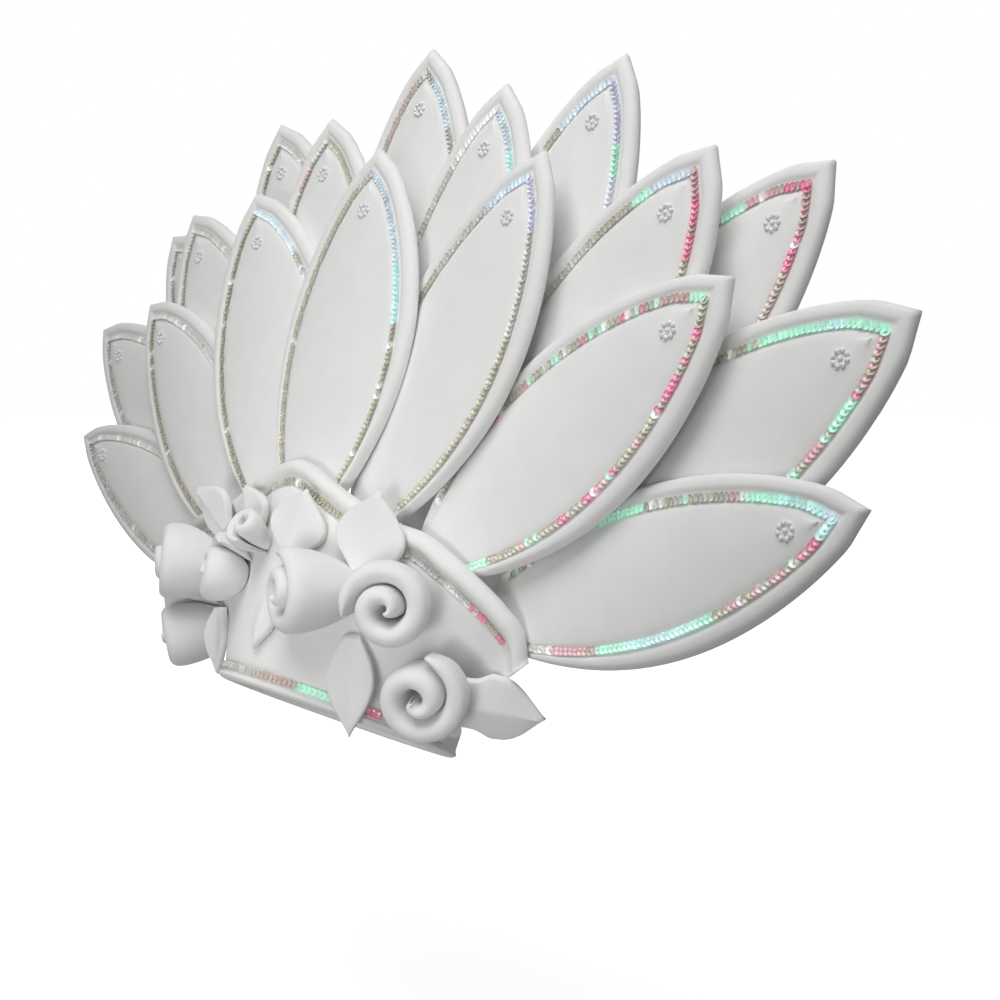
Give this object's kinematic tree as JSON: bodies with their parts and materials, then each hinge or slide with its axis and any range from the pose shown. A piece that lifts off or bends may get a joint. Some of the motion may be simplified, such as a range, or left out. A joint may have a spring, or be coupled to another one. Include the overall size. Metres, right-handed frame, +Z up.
{
  "type": "foam feather crown headdress",
  "caption": "Carnival headdress: a flared padded diadem on a head band carries tiers of cut foam feathers with sequin trims, rolled roses and leaves.",
  "frame": {"origin": "centre of the head opening at the rim of the head band, in the worn pose", "axes": "+X to the wearer's left, -Y to the front, +Z up"},
  "size_m": [0.876, 0.2074, 0.5558],
  "materials": {
    "foam": "matt white soft foam",
    "sequin": "iridescent clear sequins on a string"
  },
  "bodies": {
    "root": {"diadem": "foam", "diadem_trim": "sequin", "feather_back_left_1": "foam", "feather_back_left_2": "foam", "feather_back_middle": "foam", "feather_back_right_1": "foam", "feather_back_right_2": "foam", "feather_front_left_1": "foam", "feather_front_left_2": "foam", "feather_front_left_3": "foam", "feather_front_middle": "foam", "feather_front_right_1": "foam", "feather_front_right_2": "foam", "feather_front_right_3": "foam", "feather_middle_left_1": "foam", "feather_middle_left_2": "foam", "feather_middle_left_3": "foam", "feather_middle_right_1": "foam", "feather_middle_right_2": "foam", "feather_middle_right_3": "foam", "head_band": "foam", "head_band_trim": "sequin", "leaf_bud_left": "foam", "leaf_bud_right": "foam", "leaf_front_left": "foam", "leaf_hanging_left": "foam", "leaf_hanging_right": "foam", "leaf_side_left": "foam", "leaf_side_right": "foam", "leaf_upper_left": "foam", "leaf_upper_right": "foam", "rose_bud": "foam", "rose_inner_left": "foam", "rose_inner_right": "foam", "rose_lower_left": "foam", "rose_lower_right": "foam", "rose_upper_left": "foam", "rose_upper_right": "foam", "trim_back_left_1": "sequin", "trim_back_left_2": "sequin", "trim_back_middle": "sequin", "trim_back_right_1": "sequin", "trim_back_right_2": "sequin", "trim_front_left_1": "sequin", "trim_front_left_2": "sequin", "trim_front_left_3": "sequin", "trim_front_middle": "sequin", "trim_front_right_1": "sequin", "trim_front_right_2": "sequin", "trim_front_right_3": "sequin", "trim_middle_left_1": "sequin", "trim_middle_left_2": "sequin", "trim_middle_left_3": "sequin", "trim_middle_right_1": "sequin", "trim_middle_right_2": "sequin", "trim_middle_right_3": "sequin"}
  },
  "joints": []
}
